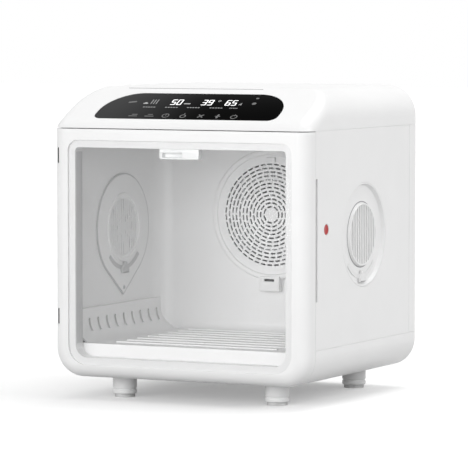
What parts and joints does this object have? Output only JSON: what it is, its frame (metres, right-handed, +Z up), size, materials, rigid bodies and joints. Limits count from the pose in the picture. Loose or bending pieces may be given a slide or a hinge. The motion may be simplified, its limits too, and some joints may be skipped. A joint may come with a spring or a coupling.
{
  "type": "warm-air drying cabinet",
  "caption": "Free-standing white drying cabinet with a hinged window door, sloping black touch panel, round side vents with lever shutters and a round fan grille in its back wall.",
  "frame": {"origin": "on the floor under the middle of the cabinet, at the level of the foot pads", "axes": "+Z up, the door faces -Y, +X to the right of someone facing the door"},
  "size_m": [0.44, 0.41, 0.485],
  "materials": {
    "white_casing": "smooth moulded gloss",
    "white_liner": "smooth moulded satin",
    "clear_pane": "clear acrylic sheet",
    "black_panel": "black gloss touch panel",
    "frosted_catch": "frosted moulding",
    "red_button": "moulded gloss",
    "black_hinge": "moulded black",
    "grey_rubber": "soft seal",
    "foot_rubber": "pale moulded rubber",
    "steel": "plated",
    "motor_metal": "painted can",
    "heater_metal": "bare fins",
    "inlet_plastic": "moulded black",
    "prong_brass": "plated prongs",
    "board_green": "circuit board",
    "filter_fibre": "pleated fibre pad",
    "grey_impeller": "moulded grey"
  },
  "bodies": {
    "cabinet": {"base_shell": "white_casing", "left_side_panel": "white_casing", "right_side_panel": "white_casing", "rear_cover": "white_casing", "top_cover": "white_casing", "left_vent_bezel": "white_casing", "right_vent_bezel": "white_casing", "filter_cover": "white_casing", "front_left_foot": "white_casing", "front_right_foot": "white_casing", "rear_left_foot": "white_casing", "rear_right_foot": "white_casing", "front_frame": "white_liner", "floor_deck": "white_liner", "chamber_ceiling": "white_liner", "rear_wall": "white_liner", "left_liner": "white_liner", "right_liner": "white_liner", "left_air_duct": "white_liner", "right_air_duct": "white_liner", "floor_tray": "white_liner", "fan_grille": "white_liner", "grille_rim": "white_liner", "grille_clips": "white_liner", "left_vent_cover": "white_liner", "right_vent_cover": "white_liner", "control_panel": "black_panel", "upper_hinge_bracket": "black_hinge", "lower_hinge_bracket": "black_hinge", "button_switch": "black_hinge", "foot_pads": "foot_rubber", "hinge_pins": "steel", "strike_plates": "steel", "rear_cover_screws": "steel", "left_vent_screw": "steel", "right_vent_screw": "steel", "motor_bracket": "steel", "temperature_sensor": "steel", "motor": "motor_metal", "heater_core": "heater_metal", "mains_inlet": "inlet_plastic", "blower_housing": "inlet_plastic", "inlet_prongs": "prong_brass", "display_board": "board_green", "power_board": "board_green", "intake_filter": "filter_fibre"},
    "door": {"door_frame": "white_casing", "door_window": "clear_pane", "door_gasket": "grey_rubber", "door_magnets": "steel", "door_catch": "frosted_catch"},
    "left_shutter": {"left_vent_shutter": "white_liner", "left_vent_knob": "white_casing", "left_vent_inner_knob": "white_liner"},
    "right_shutter": {"right_vent_shutter": "white_liner", "right_vent_knob": "white_casing", "right_vent_inner_knob": "white_liner"},
    "rotor": {"impeller": "grey_impeller", "motor_shaft": "steel"},
    "button": {"release_button": "red_button"}
  },
  "joints": [
    {"name": "door_hinge", "type": "hinge", "parent": "cabinet", "child": "door", "pos_m": [-0.212, -0.19, 0.254], "axis": [0, 0, -1], "range_deg": [0, 105]},
    {"name": "left_vent_turn", "type": "hinge", "parent": "cabinet", "child": "left_shutter", "pos_m": [-0.2105, -0.004, 0.257], "axis": [1, 0, 0], "range_deg": [-22.5, 22.5]},
    {"name": "right_vent_turn", "type": "hinge", "parent": "cabinet", "child": "right_shutter", "pos_m": [0.2105, -0.004, 0.257], "axis": [1, 0, 0], "range_deg": [-22.5, 22.5]},
    {"name": "impeller_spin", "type": "hinge", "parent": "cabinet", "child": "rotor", "pos_m": [0, 0.156, 0.275], "axis": [0, 1, 0], "continuous": true},
    {"name": "button_press", "type": "slide", "parent": "cabinet", "child": "button", "axis": [-1, 0, 0], "range_m": [0, 0.002], "stiffness_N_per_m": 500}
  ]
}
